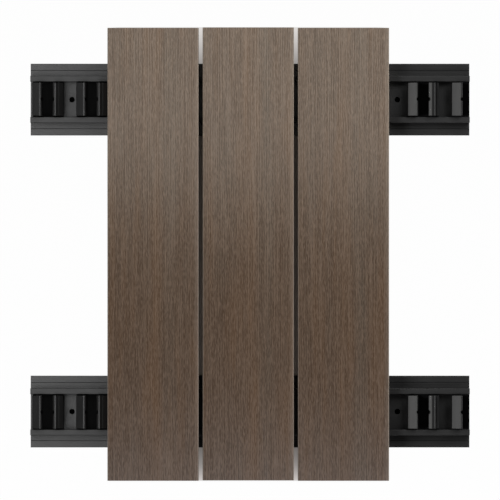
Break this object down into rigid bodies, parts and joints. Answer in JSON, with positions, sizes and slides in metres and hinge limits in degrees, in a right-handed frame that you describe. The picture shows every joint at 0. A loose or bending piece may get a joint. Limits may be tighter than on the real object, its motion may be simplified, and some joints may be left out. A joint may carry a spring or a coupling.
{
  "type": "clip-fixed composite cladding boards on rails",
  "caption": "Vertical wood-grain composite cladding boards snapped side by side onto barbed clips in black aluminium rails that screw to a wall.",
  "frame": {"origin": "centre of the panel's footprint, in the plane of the rails' back faces", "axes": "+X along the rails, +Y up along the boards, +Z out of the wall, so the panel lies on its rails"},
  "size_m": [0.4352, 0.4474, 0.036],
  "materials": {
    "composite": "matt brown wood-plastic composite with a fine brushed grain along the board",
    "rail_metal": "satin black anodised extrusion with bare sawn ends",
    "clip_plastic": "black moulded plastic with a slight sheen"
  },
  "bodies": {
    "root": {"left_board": "composite", "middle_board": "composite", "right_board": "composite", "upper_rail": "rail_metal", "upper_clip_1": "clip_plastic", "upper_clip_2": "clip_plastic", "upper_clip_3": "clip_plastic", "upper_clip_4": "clip_plastic", "upper_clip_5": "clip_plastic", "upper_clip_6": "clip_plastic", "upper_clip_7": "clip_plastic", "upper_clip_8": "clip_plastic", "upper_clip_9": "clip_plastic", "upper_clip_10": "clip_plastic", "lower_rail": "rail_metal", "lower_clip_1": "clip_plastic", "lower_clip_2": "clip_plastic", "lower_clip_3": "clip_plastic", "lower_clip_4": "clip_plastic", "lower_clip_5": "clip_plastic", "lower_clip_6": "clip_plastic", "lower_clip_7": "clip_plastic", "lower_clip_8": "clip_plastic", "lower_clip_9": "clip_plastic", "lower_clip_10": "clip_plastic"}
  },
  "joints": []
}
